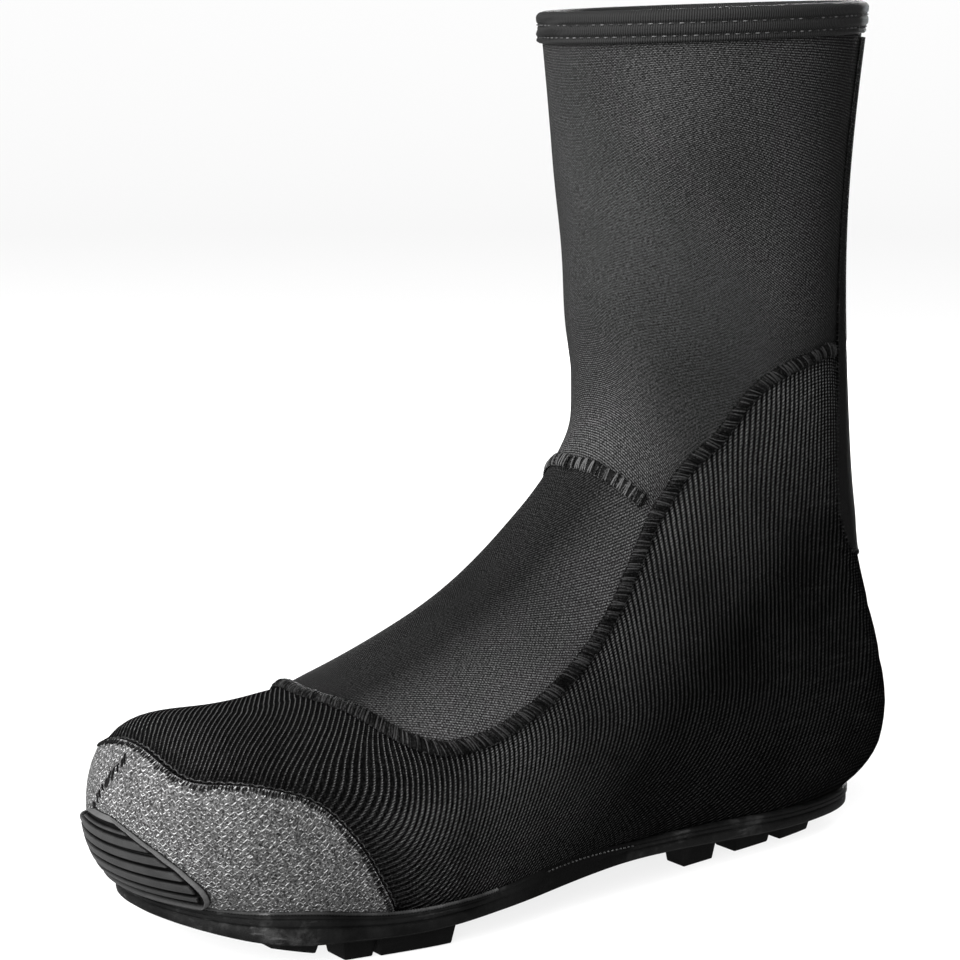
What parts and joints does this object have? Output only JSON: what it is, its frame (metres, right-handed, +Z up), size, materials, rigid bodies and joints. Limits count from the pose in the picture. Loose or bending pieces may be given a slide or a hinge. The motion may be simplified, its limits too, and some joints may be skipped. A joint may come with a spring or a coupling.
{
  "type": "cycling overshoe",
  "caption": "Ankle-high neoprene cycling overshoe with a lugged rubber sole, ribbed toe bumper, woven toe guard, raised seams and a bound collar, worn over a riding shoe.",
  "frame": {"origin": "middle of the bounding box at floor level, under the lugs", "axes": "+X to the toe, +Y to the foot's left, +Z up"},
  "size_m": [0.3024, 0.1066, 0.2887],
  "materials": {
    "neoprene": "matte ribbed knit over foam",
    "sole_rubber": "matte moulded",
    "guard_weave": "speckled abrasion weave",
    "bumper_rubber": "satin moulded",
    "back_neoprene": "smooth jersey over foam",
    "seam_thread": "covered thread",
    "binding_knit": "matte knit band"
  },
  "bodies": {
    "root": {"upper": "neoprene", "outsole": "sole_rubber", "toe_guard_left": "guard_weave", "toe_guard_right": "guard_weave", "toe_bumper": "bumper_rubber", "back_panel": "back_neoprene", "side_seam": "seam_thread", "instep_seam": "seam_thread", "cuff_binding": "binding_knit"}
  },
  "joints": []
}
